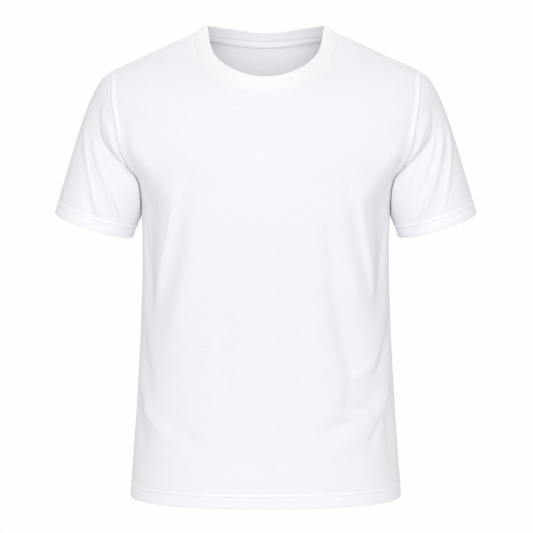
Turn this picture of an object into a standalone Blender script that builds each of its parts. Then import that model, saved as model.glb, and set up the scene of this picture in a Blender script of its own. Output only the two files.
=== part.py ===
"""A crew neck t-shirt in cotton jersey, filled out as if it were worn, with nobody in it.

The front and back panels lie on one smooth form, a stack of horizontal sections that are rounded oblongs.
Each sleeve is a tube that leaves the armhole seam and ends at the cuff, the collar is a band of folded rib
that stands on the neck seam, and a tape covers that seam inside the back neck.

Metres, +Z up, +X to the wearer's left, -Y to the front. The origin is in the middle of the neck opening,
level with the tops of the shoulders. A drop is a distance below the origin, and along is the distance from
the centre line round a section. A piece is two grids of points, its outer face and its inner face.
"""

from collections import namedtuple

import bmesh
import bpy
import numpy as np

FRONT, BACK = -1, 1

# Cloth
JERSEY_WALL = 0.0012
HEM_WALL = 0.0022  # the cloth is turned up once at the hem and the cuffs, so it is double there
HEM_WIDTH = 0.0200
CUFF_HEM_WIDTH = 0.0185
HEM_STEP = 0.0010  # height of the step at the turned cloth's raw edge
HEM_RINGS = 2  # rows or rings of the grid on the turned-up cloth
SEAM_GAP = 0.0003
CORNER_LIMIT = 0.6  # cosine of half the sharpest turn at a seam that the walls follow fully

# Body
HEM_DROP = 0.712
SHOULDER_TIP_DROP = 0.065
UNDERARM_DROP = 0.236
OBLONG = 2.3  # exponent of every section: 2 is an ellipse, more is squarer

# Neck seam, as seen from above
NECK_HALF_WIDTH = 0.109
NECK_FRONT = 0.0865
NECK_BACK = 0.083
NECK_ROUND = 2.15

# Collar band
RIB_WIDTH = 0.0235
RIB_WALL = 0.0024
RIB_BULGE = 0.0006
RIB_RISE_FRONT = 67  # degrees above horizontal that the band stands, leaning inward
RIB_RISE_SIDE = 34
RIB_RISE_BACK = 37
RibRow = namedtuple("RibRow", "rise outer inner")  # shares of the band's width and of its wall
RIB_ROWS = (
    RibRow(0.00, 0.00, 1.00),
    RibRow(0.33, 0.00, 1.00),
    RibRow(0.66, 0.00, 1.00),
    RibRow(0.94, 0.04, 0.96),
    RibRow(1.00, 0.30, 0.70),
)

# Neck tape, inside the back panel
TAPE_WALL = 0.0009
TAPE_TOP = 0.0012  # below the panel's upper edge
TAPE_BOTTOM = 0.0112
TAPE_GAP = 0.0009
TAPE_END = 0.3  # share of the last cell that the tape leaves free at each end

# Sleeve
CUFF_CENTRE = np.array([0.2625, 0.006, -0.2965])
CUFF_HALF_WIDTH = 0.0625
CUFF_HALF_DEPTH = 0.0600
CUFF_LEAN_OUT = 17.5  # degrees from straight down
CUFF_LEAN_BACK = 5.5
REST_GAP = 0.0014  # between the sleeve and the body that it rests against
REST_REACH = 0.012  # from the seam to where the sleeve stands that far off
REST_SOFTNESS = 2  # how gently the sleeve turns on to the body, in gaps
REST_LIMIT = 0.999  # share of the body's depth beyond which the sleeve finds nothing to rest on

# Grid
NECK_CELLS = 10  # from the centre line to the shoulder seam
NECK_CROWDING = 1.4  # more than 1 brings the columns closer together towards the shoulder seam
SHOULDER_CELLS = 6
ARMHOLE_CELLS = 14
ARMHOLE_CROWDING = 1.15  # more than 1 brings the rows closer together towards the shoulder
BOW_DECAY = 1.6  # how fast the bow of a panel's side straightens towards the centre line
BODY_ROWS = 13
SLEEVE_ROWS = 11
SLEEVE_CROWDING = 1.25  # more than 1 brings the rings closer together towards the armhole
ARC_STEPS = 60
HALVINGS = 40  # of the span of drops in which the neck seam is looked for
NECK_LOWEST = 0.15
SLOPE_STEP = 0.001  # drop over which the form's slope is taken
SHARP_ANGLE = 50  # degrees between two faces, past which their edge shows

Section = namedtuple("Section", "drop half_width front back")
BODY_SECTIONS = (
    Section(-0.010, 0.080, 0.001, 0.057),
    Section(0.006, 0.109, 0.010, 0.077),
    Section(0.020, 0.141, 0.021, 0.087),
    Section(0.040, 0.184, 0.038, 0.096),
    Section(SHOULDER_TIP_DROP, 0.237, 0.062, 0.104),
    Section(0.085, 0.254, 0.080, 0.110),
    Section(0.103, 0.260, 0.092, 0.114),
    Section(0.137, 0.262, 0.108, 0.119),
    Section(0.170, 0.259, 0.118, 0.121),
    Section(0.190, 0.245, 0.123, 0.121),
    Section(0.210, 0.2225, 0.126, 0.120),
    Section(0.224, 0.206, 0.127, 0.119),
    Section(UNDERARM_DROP, 0.198, 0.127, 0.118),
    Section(0.256, 0.192, 0.127, 0.116),
    Section(0.290, 0.189, 0.126, 0.113),
    Section(0.360, 0.188, 0.123, 0.109),
    Section(0.450, 0.191, 0.121, 0.107),
    Section(0.560, 0.197, 0.122, 0.109),
    Section(HEM_DROP, 0.208, 0.127, 0.114),
)

Armhole = namedtuple("Armhole", "turn drop front back")  # turn 0 is the shoulder tip, 180 the underarm
ARMHOLE = (
    Armhole(0, SHOULDER_TIP_DROP, 0.000, 0.000),
    Armhole(30, 0.072, 0.024, 0.028),
    Armhole(60, 0.095, 0.044, 0.051),
    Armhole(90, 0.131, 0.060, 0.068),
    Armhole(120, 0.172, 0.070, 0.076),
    Armhole(150, 0.211, 0.055, 0.058),
    Armhole(180, UNDERARM_DROP, 0.000, 0.000),
)

# How the sleeve's cloth leaves the armhole: onward is how far it carries on from the body's own surface,
# against straight down, and the pulls are how far it keeps its direction at the seam and at the cuff.
Leaving = namedtuple("Leaving", "turn onward seam_pull cuff_pull lean_in")
SLEEVE_LEAVING = (
    Leaving(0, 1.00, 0.120, 0.370, 0.000),
    Leaving(45, 0.80, 0.100, 0.300, 0.000),
    Leaving(90, 0.62, 0.090, 0.200, 0.000),
    Leaving(135, 0.50, 0.050, 0.120, 0.003),
    Leaving(180, 0.40, 0.030, 0.110, 0.006),
)

# A fold is a trough, or a ridge where its depth is negative. On the body it runs between two places given
# by along and drop, and on a sleeve by the way round from its top and the way onward to the cuff.
Fold = namedtuple("Fold", "start_along start_drop end_along end_drop width depth")
FRONT_FOLDS = (
    Fold(-0.158, 0.240, -0.200, 0.500, 0.017, 0.0045),
    Fold(0.150, 0.250, 0.196, 0.520, 0.018, 0.0045),
    Fold(-0.205, 0.520, -0.165, 0.610, 0.016, -0.0025),
    Fold(0.200, 0.480, 0.120, 0.620, 0.018, -0.0025),
)
BACK_FOLDS = (
    Fold(-0.150, 0.260, -0.190, 0.520, 0.018, 0.0045),
    Fold(0.156, 0.250, 0.186, 0.480, 0.018, 0.0045),
    Fold(-0.090, 0.400, -0.060, 0.560, 0.022, 0.0030),
)
SleeveFold = namedtuple("SleeveFold", "start_round start_onward end_round end_onward width depth")
SLEEVE_FOLDS = (
    SleeveFold(0.055, 0.025, 0.112, 0.045, 0.008, 0.0035),
    SleeveFold(0.300, 0.025, 0.245, 0.050, 0.009, 0.0035),
)
SLEEVE_ROUND = 0.360  # metres round a sleeve and from its seam to its cuff, as the folds count them
SLEEVE_ONWARD = 0.100
FOLD_START = 0.15  # a fold's depth rises and falls as a sine from this share of a half turn
FOLD_SPAN = 0.70
FOLDS_OFF_SIDE = 0.050  # folds die away within these distances of the side seams, the hem and the chest
FOLDS_OFF_HEM = 0.060
FOLDS_OFF_CHEST = 0.050
FOLDS_ABOVE_UNDERARM = 0.030
FOLDS_OFF_SLEEVE_SEAM = 0.15  # share of the way to the cuff


def hermite(start, start_pull, end, end_pull, t):
    """Point t of the way along the cubic that leaves start along start_pull and meets end along end_pull."""
    return (
        (2 * t**3 - 3 * t**2 + 1) * start
        + (t**3 - 2 * t**2 + t) * start_pull
        + (3 * t**2 - 2 * t**3) * end
        + (t**3 - t**2) * end_pull
    )


def read(table, column, at, level_ends=False):
    """A column of a table, read between its rows on a smooth curve. The first column is the table's key."""
    knots = np.array([row[0] for row in table], float)
    values = np.array([getattr(row, column) for row in table], float)
    slopes = np.gradient(values, knots)
    if level_ends:
        slopes[[0, -1]] = 0
    at = np.clip(at, knots[0], knots[-1])
    row = np.clip(np.searchsorted(knots, at) - 1, 0, len(knots) - 2)
    span = knots[row + 1] - knots[row]
    t = (at - knots[row]) / span
    return hermite(values[row], slopes[row] * span, values[row + 1], slopes[row + 1] * span, t)


def unit(vectors):
    return vectors / np.linalg.norm(vectors, axis=-1, keepdims=True)


def half_width(drop):
    return read(BODY_SECTIONS, "half_width", drop)


def depth(drop, side):
    return read(BODY_SECTIONS, "front" if side == FRONT else "back", drop)


def oblong(bearing, drop, side):
    """The form's point at a bearing from the centre line, in radians: a right angle is the wearer's side."""
    power = 2 / OBLONG
    x = half_width(drop) * np.sign(bearing) * np.abs(np.sin(bearing)) ** power
    y = side * depth(drop, side) * np.maximum(np.cos(bearing), 0) ** power
    return np.stack([x, y, -drop], axis=-1)


def bearing_of(x, y, drop, side):
    return np.sign(x) * np.arctan2(
        (np.abs(x) / half_width(drop)) ** (OBLONG / 2), (np.abs(y) / depth(drop, side)) ** (OBLONG / 2)
    )


def arc_lengths(drop, side):
    """Bearings from the centre line to the side, and how far round the section each one lies."""
    bearings = np.linspace(0, np.pi / 2, ARC_STEPS)
    points = oblong(bearings[None, :], np.ravel(drop)[:, None] + 0 * bearings[None, :], side)
    steps = np.linalg.norm(np.diff(points, axis=1), axis=-1)
    return bearings, np.hstack([np.zeros((len(steps), 1)), np.cumsum(steps, axis=1)])


def along_at(bearing, drop, side):
    bearings, lengths = arc_lengths(drop, side)
    found = [np.interp(abs(b), bearings, row) for b, row in zip(np.ravel(bearing), lengths)]
    return np.sign(bearing) * np.reshape(found, np.shape(bearing))


def side_seam(drop, side):
    return along_at(np.full(np.shape(drop), np.pi / 2), drop, side)


def on_form(along, drop, side):
    bearings, lengths = arc_lengths(drop, side)
    found = [np.interp(abs(a), row, bearings) for a, row in zip(np.ravel(along), lengths)]
    return oblong(np.sign(along) * np.reshape(found, np.shape(along)), drop, side)


def form_normals(points, side):
    """Outward normals of the form, from the slope of its equation, (x/width)^n + (y/depth)^n = 1."""
    drop = -points[..., 2]
    x = np.abs(points[..., 0]) / half_width(drop)
    y = np.abs(points[..., 1]) / depth(drop, side)
    below, above = drop + SLOPE_STEP, drop - SLOPE_STEP
    wider = np.log(half_width(below) / half_width(above)) / (2 * SLOPE_STEP)
    deeper = np.log(depth(below, side) / depth(above, side)) / (2 * SLOPE_STEP)
    normals = np.stack(
        [
            np.sign(points[..., 0]) * x ** (OBLONG - 1) / half_width(drop),
            side * y ** (OBLONG - 1) / depth(drop, side),
            x**OBLONG * wider + y**OBLONG * deeper,
        ],
        axis=-1,
    )
    return unit(normals)


def neck_point(turn, side):
    """A point of the neck seam: turn 0 is on the centre line and a right angle at the shoulder seam."""
    power = 2 / NECK_ROUND
    x = NECK_HALF_WIDTH * np.sign(turn) * np.abs(np.sin(turn)) ** power
    y = (NECK_FRONT if side == FRONT else NECK_BACK) * np.maximum(np.cos(turn), 0) ** power
    low, high = np.full(np.shape(x), BODY_SECTIONS[0].drop), np.full(np.shape(x), NECK_LOWEST)
    for _ in range(HALVINGS):
        middle = (low + high) / 2
        inside = (np.abs(x) / half_width(middle)) ** OBLONG + (y / depth(middle, side)) ** OBLONG < 1
        low, high = np.where(inside, low, middle), np.where(inside, middle, high)
    return np.stack([x, side * y, -low], axis=-1)


def armhole_point(turn, side):
    """A point of the wearer's left armhole seam, by the turn from the shoulder tip to the underarm."""
    drop = read(ARMHOLE, "drop", turn, level_ends=True)
    y = side * np.maximum(read(ARMHOLE, "front" if side == FRONT else "back", turn), 0)
    x = half_width(drop) * (1 - (np.abs(y) / depth(drop, side)) ** OBLONG) ** (1 / OBLONG)
    return np.stack([x, y, -drop], axis=-1)


def armhole_turns():
    """Turns of the grid's rows along the armhole, from the underarm up to the shoulder tip."""
    return 180 * (1 - np.arange(ARMHOLE_CELLS + 1) / ARMHOLE_CELLS) ** ARMHOLE_CROWDING


def flat_place(points, side):
    """Along and drop of points that lie on the form."""
    x, y, drop = points[..., 0], points[..., 1], -points[..., 2]
    return np.stack([along_at(bearing_of(x, y, drop, side), drop, side), drop], axis=-1)


def fade(distance, reach):
    """0 at a seam, rising softly to 1 at its reach from it."""
    share = np.clip(distance / reach, 0, 1)
    return share * share * (3 - 2 * share)


def fold_depth(fold, places):
    """How deep a fold presses in at places given as pairs of the fold's own two coordinates."""
    start, end = np.array(fold[0:2]), np.array(fold[2:4])
    run = end - start
    t = np.clip((places - start) @ run / (run @ run), 0, 1)
    off = np.linalg.norm(places - start - t[..., None] * run, axis=-1)
    return fold.depth * np.exp(-((off / fold.width) ** 2)) * np.sin(np.pi * (FOLD_START + FOLD_SPAN * t))


class Seam:
    """A closed seam line, where one piece carries on from a panel in a direction of its own."""

    def __init__(self, points, normals, inside):
        self.points, self.normals = points, normals
        self.ahead = unit(np.roll(points, -1, axis=0) - np.roll(points, 1, axis=0))
        onward = unit(np.cross(self.ahead, normals))
        self.turned = np.sign(np.sum(onward * (inside - points)))
        self.onward = onward * self.turned

    def leave(self, directions):
        """Set the direction in which the second piece leaves, and share the corner between the walls."""
        self.directions = unit(directions - self.ahead * np.sum(directions * self.ahead, -1, keepdims=True))
        piece_normals = unit(np.cross(self.directions, self.ahead)) * self.turned
        self.through = unit(self.normals + piece_normals)
        half_turn = np.sum(self.normals * self.through, axis=-1, keepdims=True)
        self.stretch = 1 / np.maximum(half_turn, CORNER_LIMIT)
        self.across = unit(np.cross(self.ahead, self.through)) * self.turned

    def edge(self, gap_side):
        """Outer points of one piece's edge: gap_side is -1 for the panel and 1 for the second piece."""
        return self.points + gap_side * SEAM_GAP / 2 * self.across

    def wall(self):
        """What one metre of wall adds inward from the edge's outer points."""
        return -self.through * self.stretch


def neck_seam():
    """The neck seam, from the wearer's left shoulder round the front."""
    shares = np.linspace(1, -1, 2 * NECK_CELLS + 1)
    half = np.sign(shares) * (1 - (1 - np.abs(shares)) ** NECK_CROWDING) * np.pi / 2
    front, back = neck_point(half, FRONT), neck_point(-half[1:-1], BACK)
    normals = np.vstack([form_normals(front, FRONT), form_normals(back, BACK)])
    above_neck = np.array([0, 0, RIB_WIDTH])
    seam = Seam(np.vstack([front, back]), normals, above_neck)
    inward = unit(np.cross(seam.ahead * [1, 1, 0], [0, 0, 1]))
    inward *= -np.sign(np.sum(inward * seam.points, axis=-1, keepdims=True))
    facing = inward[:, 1:2]
    rise_ends = np.where(facing > 0, RIB_RISE_FRONT, RIB_RISE_BACK)
    rise = np.radians(RIB_RISE_SIDE + (rise_ends - RIB_RISE_SIDE) * facing**2)
    seam.leave(inward * np.cos(rise) + np.array([0, 0, 1]) * np.sin(rise))
    return seam


def armhole_seam():
    """The wearer's left armhole seam, from the shoulder tip down the front and up the back."""
    turns = armhole_turns()[::-1]
    front, back = armhole_point(turns, FRONT), armhole_point(turns[-2:0:-1], BACK)
    points = np.vstack([front, back])
    normals = np.vstack([form_normals(front, FRONT), form_normals(back, BACK)])
    seam = Seam(points, normals, points.mean(axis=0))
    onward = read(SLEEVE_LEAVING, "onward", np.r_[turns, turns[-2:0:-1]])[:, None]
    seam.leave(onward * seam.onward + (1 - onward) * np.array([0, 0, -1]))
    return seam


def mirrored(points):
    return points * [-1, 1, 1]


def panel(side, neck, armhole):
    """Outer points and inward wall directions of a panel, in rows from the hem to the top, and its walls."""
    cells = NECK_CELLS + SHOULDER_CELLS
    shares = np.linspace(-1, 1, 2 * cells + 1)
    band_top = HEM_DROP - HEM_WIDTH
    lower_drops = np.r_[HEM_DROP, band_top, np.linspace(band_top - HEM_STEP, UNDERARM_DROP, BODY_ROWS)[:-1]]
    widths = side_seam(lower_drops, side)
    lower = np.stack([widths[:, None] * shares, lower_drops[:, None] + 0 * shares], axis=-1)

    across_neck = np.arange(2 * NECK_CELLS + 1)
    ring = (2 * NECK_CELLS + (across_neck if side == BACK else -across_neck)) % (4 * NECK_CELLS)
    neck_columns = np.arange(SHOULDER_CELLS, SHOULDER_CELLS + 2 * NECK_CELLS + 1)
    rows = np.arange(ARMHOLE_CELLS + 1)
    hole = (ARMHOLE_CELLS + (rows if side == BACK else -rows)) % (2 * ARMHOLE_CELLS)

    top = np.zeros((2 * cells + 1, 2))
    shoulder_share = (np.arange(SHOULDER_CELLS + 1) / SHOULDER_CELLS)[::-1]
    shoulder_drops = -neck.points[0, 2] + shoulder_share * (SHOULDER_TIP_DROP + neck.points[0, 2])
    shoulder = np.stack([side_seam(shoulder_drops, side), shoulder_drops], axis=-1)
    top[neck_columns] = flat_place(neck.points[ring], side)
    top[: SHOULDER_CELLS + 1] = shoulder * [-1, 1]
    top[-SHOULDER_CELLS - 1 :] = shoulder[::-1]
    bottom = np.stack([shares * side_seam(np.array([UNDERARM_DROP]), side), 0 * shares + UNDERARM_DROP], -1)
    edge = flat_place(armhole.points[hole], side)
    upper = between_edges(bottom, top, edge * [-1, 1], edge, 1 - armhole_turns() / 180)

    places = np.vstack([lower, upper])
    along, drop = places[..., 0], places[..., 1]
    outer = on_form(along, drop, side)
    normals = form_normals(outer, side)
    clear = fade(side_seam(drop, side) - np.abs(along), FOLDS_OFF_SIDE)
    clear *= fade(HEM_DROP - drop, FOLDS_OFF_HEM)
    clear *= fade(drop - UNDERARM_DROP + FOLDS_ABOVE_UNDERARM, FOLDS_OFF_CHEST)
    for fold in FRONT_FOLDS if side == FRONT else BACK_FOLDS:
        outer -= normals * (fold_depth(fold, places) * clear)[..., None]

    wall = -normals
    seam_shift = np.zeros_like(outer)
    seam_shift[: len(lower), [0, -1], 1] = side * SEAM_GAP / 2
    seam_shift[-1, : SHOULDER_CELLS + 1, 1] = side * SEAM_GAP / 2
    seam_shift[-1, -SHOULDER_CELLS - 1 :, 1] = side * SEAM_GAP / 2
    seam_shift[len(lower), [0, -1], 1] = side * SEAM_GAP / 2
    outer[-1, neck_columns] = neck.edge(-1)[ring]
    wall[-1, neck_columns] = neck.wall()[ring]
    outer[len(lower) :, -1] = armhole.edge(-1)[hole]
    wall[len(lower) :, -1] = armhole.wall()[hole]
    outer[len(lower) :, 0] = mirrored(armhole.edge(-1)[hole])
    wall[len(lower) :, 0] = mirrored(armhole.wall()[hole])
    outer += seam_shift
    thickness = np.where(np.arange(len(outer)) < HEM_RINGS, HEM_WALL, JERSEY_WALL)
    return outer, outer + wall * thickness[:, None, None]


def between_edges(bottom, top, left, right, heights):
    """A patch of places that meets four edges. The bows of its sides die away towards the centre line."""
    v = heights[:, None, None]
    u = np.linspace(-1, 1, len(bottom))[None, :, None]
    straight = (1 - v) * bottom + v * top
    left_bow = left[:, None] - straight[:, :1]
    right_bow = right[:, None] - straight[:, -1:]
    return straight + left_bow * np.maximum(-u, 0) ** BOW_DECAY + right_bow * np.maximum(u, 0) ** BOW_DECAY


def cuff_points(turns):
    """The cuff's outer edge. Turns run on past 180 degrees up the back."""
    out, back = np.radians(CUFF_LEAN_OUT), np.radians(CUFF_LEAN_BACK)
    axis = unit(np.array([np.sin(out), np.tan(back), -np.cos(out)]))
    outward = np.array([np.cos(out), 0, np.sin(out)])
    forward = np.cross(axis, outward)
    turns = np.radians(turns)[:, None]
    round_edge = CUFF_HALF_WIDTH * np.cos(turns) * outward + CUFF_HALF_DEPTH * np.sin(turns) * forward
    return CUFF_CENTRE + round_edge, axis


def rest_on_body(points, seam_distance):
    """Points of the sleeve, moved out sideways where they would press into the body."""
    drop = -points[..., 2]
    deep = np.where(points[..., 1] < 0, depth(drop, FRONT), depth(drop, BACK))
    share = np.clip(np.abs(points[..., 1]) / deep, 0, REST_LIMIT)
    gap = REST_GAP * np.clip(seam_distance / REST_REACH, 0, 1)
    surface = half_width(drop) * (1 - share**OBLONG) ** (1 / OBLONG) + gap
    excess = points[..., 0] - surface
    soft = REST_SOFTNESS * gap
    return np.stack(
        [surface + (excess + np.sqrt(excess**2 + soft**2)) / 2, points[..., 1], points[..., 2]], axis=-1
    )


def sleeve(armhole):
    """Outer and inner points of the wearer's left sleeve, in rings from the armhole to the cuff."""
    half = armhole_turns()[::-1]
    turns = np.r_[half, 360 - half[-2:0:-1]]
    folded = np.minimum(turns, 360 - turns)
    cuff, axis = cuff_points(turns)
    seam_pull = read(SLEEVE_LEAVING, "seam_pull", folded)[:, None] * armhole.directions
    cuff_pull = read(SLEEVE_LEAVING, "cuff_pull", folded)[:, None] * axis
    t = np.linspace(0, 1, ARC_STEPS)[:, None, None]
    lines = hermite(armhole.edge(1), seam_pull, cuff, cuff_pull, t)
    lines[..., 0] -= read(SLEEVE_LEAVING, "lean_in", folded) * np.sin(np.pi * t[..., 0]) ** 2
    seam_distance = np.linalg.norm(lines - lines[:1], axis=-1)
    lines = rest_on_body(lines, seam_distance)

    steps = np.linalg.norm(np.diff(lines, axis=0), axis=-1)
    lengths = np.vstack([np.zeros(len(turns)), np.cumsum(steps, axis=0)])
    shares = np.linspace(0, 1, SLEEVE_ROWS) ** SLEEVE_CROWDING
    columns = []
    for k, length in enumerate(lengths[-1]):
        band_top = length - CUFF_HEM_WIDTH
        stops = np.r_[shares * (band_top - HEM_STEP), band_top, length]
        columns.append(np.stack([np.interp(stops, lengths[:, k], part) for part in lines[:, k].T], axis=-1))
    outer = np.stack(columns, axis=1)

    around = np.roll(outer, -1, axis=1) - np.roll(outer, 1, axis=1)
    normals = unit(np.cross(around, np.gradient(outer, axis=0)))
    normals *= np.sign(np.sum(normals[-1] * (outer[-1] - CUFF_CENTRE)))
    ring_shares = np.linspace(0, 1, len(outer))[:, None] + 0 * turns
    places = np.stack([SLEEVE_ROUND * turns / 360 + 0 * ring_shares, SLEEVE_ONWARD * ring_shares], axis=-1)
    clear = fade(ring_shares, FOLDS_OFF_SLEEVE_SEAM)
    for fold in SLEEVE_FOLDS:
        outer -= normals * (fold_depth(fold, places) * clear)[..., None]
    wall = -normals
    wall[0] = armhole.wall()
    thickness = np.where(np.arange(len(outer)) < len(outer) - HEM_RINGS, JERSEY_WALL, HEM_WALL)
    return outer, outer + wall * thickness[:, None, None]


def collar(neck):
    """Outer and inner points of the rib band, in rings from the neck seam to the folded edge."""
    directions = neck.directions
    normals = unit(np.cross(directions, neck.ahead)) * neck.turned
    outer, inner = [], []
    for row in RIB_ROWS:
        line = neck.edge(1) + directions * RIB_WIDTH * row.rise
        line = line + normals * RIB_BULGE * np.sin(np.pi * row.rise)
        inward = neck.wall() if row.rise == 0 else -normals
        outer.append(line + inward * RIB_WALL * row.outer)
        inner.append(line + inward * RIB_WALL * row.inner)
    return np.array(outer), np.array(inner)


def neck_tape(back_inner):
    """Outer and inner points of the tape, moved in from the highest cells of the back panel's inner face."""
    columns = slice(SHOULDER_CELLS, SHOULDER_CELLS + 2 * NECK_CELLS + 1)
    top, below = back_inner[-1, columns].copy(), back_inner[-2, columns].copy()
    for row in (top, below):
        row[0] += TAPE_END * (row[1] - row[0])
        row[-1] += TAPE_END * (row[-2] - row[-1])
    down = unit(below - top)
    inward = unit(np.cross(down, np.gradient(top, axis=0)))
    outer = np.array([top + down * reach + inward * TAPE_GAP for reach in (TAPE_BOTTOM, TAPE_TOP)])
    return outer, outer + inward * TAPE_WALL


def cloth_material(name, colour, roughness):
    material = bpy.data.materials.new(name)
    material.use_nodes = True
    shader = material.node_tree.nodes["Principled BSDF"]
    shader.inputs["Base Color"].default_value = (*colour, 1)
    shader.inputs["Roughness"].default_value = roughness
    shader.inputs["Metallic"].default_value = 0
    return material


def cloth_piece(name, outer, inner, material, round_about=False):
    """A closed wall between two grids of points, which are joined by a rim along every open edge."""
    shape = bmesh.new()
    layers = []
    for grid in (outer, inner):
        layers.append([[shape.verts.new(point) for point in row] for row in grid])
    rows, columns = outer.shape[:2]
    last = columns if round_about else columns - 1
    for layer in layers:
        for i in range(rows - 1):
            for j in range(last):
                k = (j + 1) % columns
                shape.faces.new((layer[i][j], layer[i][k], layer[i + 1][k], layer[i + 1][j]))
    face, lining = layers
    for i in (0, rows - 1):
        for j in range(last):
            k = (j + 1) % columns
            shape.faces.new((face[i][j], lining[i][j], lining[i][k], face[i][k]))
    if not round_about:
        for j in (0, columns - 1):
            for i in range(rows - 1):
                shape.faces.new((face[i][j], lining[i][j], lining[i + 1][j], face[i + 1][j]))
    bmesh.ops.recalc_face_normals(shape, faces=shape.faces)
    mesh = bpy.data.meshes.new(name)
    shape.to_mesh(mesh)
    shape.free()
    mesh.shade_smooth()
    mesh.set_sharp_from_angle(angle=np.radians(SHARP_ANGLE))
    mesh.materials.append(material)
    made = bpy.data.objects.new(name, mesh)
    bpy.context.collection.objects.link(made)
    return made


def build():
    for old in list(bpy.data.objects):
        bpy.data.objects.remove(old)
    jersey = cloth_material("white_jersey", (0.90, 0.90, 0.93), 0.9)
    rib = cloth_material("white_rib", (0.92, 0.92, 0.94), 0.9)
    tape = cloth_material("white_tape", (0.86, 0.86, 0.88), 0.85)
    neck, armhole = neck_seam(), armhole_seam()
    cloth_piece("front_panel", *panel(FRONT, neck, armhole), jersey)
    back_outer, back_inner = panel(BACK, neck, armhole)
    cloth_piece("back_panel", back_outer, back_inner, jersey)
    left_outer, left_inner = sleeve(armhole)
    cloth_piece("sleeve_left", left_outer, left_inner, jersey, round_about=True)
    cloth_piece("sleeve_right", mirrored(left_outer), mirrored(left_inner), jersey, round_about=True)
    cloth_piece("collar", *collar(neck), rib, round_about=True)
    cloth_piece("neck_tape", *neck_tape(back_inner), tape)


build()
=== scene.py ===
"""Dresses the crew neck t-shirt: jersey panels and sleeves, rib collar, neck tape and sewing.

Metres, +Z up, +X to the wearer's left, -Y to the front. The origin is in the middle of the neck opening. A
drop is a distance below the origin, and along is the distance from the centre line round the body.
"""

from collections import namedtuple

import bpy
import numpy as np
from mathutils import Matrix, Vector


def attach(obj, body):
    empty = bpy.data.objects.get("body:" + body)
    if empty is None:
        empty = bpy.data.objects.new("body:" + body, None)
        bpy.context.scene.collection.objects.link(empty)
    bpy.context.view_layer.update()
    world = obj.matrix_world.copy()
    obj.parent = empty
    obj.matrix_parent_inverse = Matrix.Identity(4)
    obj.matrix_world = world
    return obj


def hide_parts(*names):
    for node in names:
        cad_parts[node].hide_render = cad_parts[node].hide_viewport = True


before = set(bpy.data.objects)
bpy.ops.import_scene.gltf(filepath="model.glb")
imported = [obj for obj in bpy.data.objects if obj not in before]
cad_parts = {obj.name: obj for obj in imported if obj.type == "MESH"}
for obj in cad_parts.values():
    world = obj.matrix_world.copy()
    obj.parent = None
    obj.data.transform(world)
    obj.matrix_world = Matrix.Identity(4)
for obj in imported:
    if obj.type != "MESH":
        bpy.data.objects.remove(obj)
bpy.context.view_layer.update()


# Studio. Soft light from all round, a wide softbox in front and one behind, and a weak lamp in the hollow.
# The surround is white, and the pale floor lies well below the hem, where the figure's feet would be.
CAMERA_AT = (0, -3.0, -0.167)
CAMERA_LOOKS_AT = (0, 0, -0.3603)
LENS = 132.7  # millimetres, on Blender's own 36 mm frame
SHIFT_ACROSS = 0.0015
SURROUND = 0.992
ROOM_LIGHT = 0.65
STUDIO_LIGHTS = (  # name, place, target, size and watts
    ("front_softbox", (0, -2.65, 0.85), (0, 0, -0.3), 1.7, 36.7),
    ("back_softbox", (0, 2.6, 1.0), (0, 0, -0.3), 1.7, 36),
    # it stands for the light that comes through the cloth, and shines up into the back of the neck
    ("inside_lamp", (0, -0.075, -0.19), (0, 0.03, 0.04), 0.05, 0.037),
)
INSIDE_LAMP_SPREAD = 1.15  # radians
FLOOR_DROP = 1.45
FLOOR_SIZE = 5.0


def linear(hex_colour):
    """The linear colour of an sRGB hex value."""
    parts = [int(hex_colour[i : i + 2], 16) / 255 for i in (0, 2, 4)]
    return (*[p / 12.92 if p <= 0.04045 else ((p + 0.055) / 1.055) ** 2.4 for p in parts], 1)


def add_node(tree, kind, settings=None, **sources):
    """Add a node. Settings are its properties or named inputs, and sources are linked to its inputs."""
    node = tree.nodes.new(kind)
    for name, value in (settings or {}).items():
        if hasattr(node, name):
            setattr(node, name, value)
        else:
            node.inputs[name].default_value = value
    for name, source in sources.items():
        tree.links.new(source, node.inputs[name.replace("_", " ")])
    return node


def start_material(name, settings):
    """A new material, its node tree and its shader, whose own sockets take the settings."""
    material = bpy.data.materials.new(name)
    material.use_nodes = True
    shader = material.node_tree.nodes["Principled BSDF"]
    for socket, value in settings.items():
        shader.inputs[socket].default_value = value
    return material, material.node_tree, shader


def set_up(name, data, at, target):
    """Stand the camera or a light in its place, turned to its target."""
    thing = bpy.data.objects.new(name, data)
    bpy.context.collection.objects.link(thing)
    thing.location = at
    thing.rotation_euler = (Vector(target) - Vector(at)).to_track_quat("-Z", "Y").to_euler()
    return thing


camera_data = bpy.data.cameras.new("camera")
camera_data.lens = LENS
camera_data.shift_x = SHIFT_ACROSS
bpy.context.scene.camera = set_up("camera", camera_data, CAMERA_AT, CAMERA_LOOKS_AT)
bpy.context.scene.view_settings.view_transform = "Standard"

room = bpy.data.worlds.new("white_room")
room.use_nodes = True
lit = room.node_tree.nodes["Background"]
lit.inputs["Color"].default_value = (1, 1, 1, 1)
lit.inputs["Strength"].default_value = ROOM_LIGHT
seen = add_node(room.node_tree, "ShaderNodeBackground", {"Color": (1, 1, 1, 1), "Strength": SURROUND})
direct = add_node(room.node_tree, "ShaderNodeLightPath").outputs["Is Camera Ray"]
either = add_node(room.node_tree, "ShaderNodeMixShader", Fac=direct)
room.node_tree.links.new(lit.outputs[0], either.inputs[1])
room.node_tree.links.new(seen.outputs[0], either.inputs[2])
room.node_tree.links.new(either.outputs[0], room.node_tree.nodes["World Output"].inputs["Surface"])
bpy.context.scene.world = room

for name, at, target, size, watts in STUDIO_LIGHTS:
    light = bpy.data.lights.new(name, "AREA")
    light.size = size
    light.energy = watts
    if name == "inside_lamp":
        light.shape = "DISK"
        light.spread = INSIDE_LAMP_SPREAD
    set_up(name, light, at, target).visible_camera = False

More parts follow.
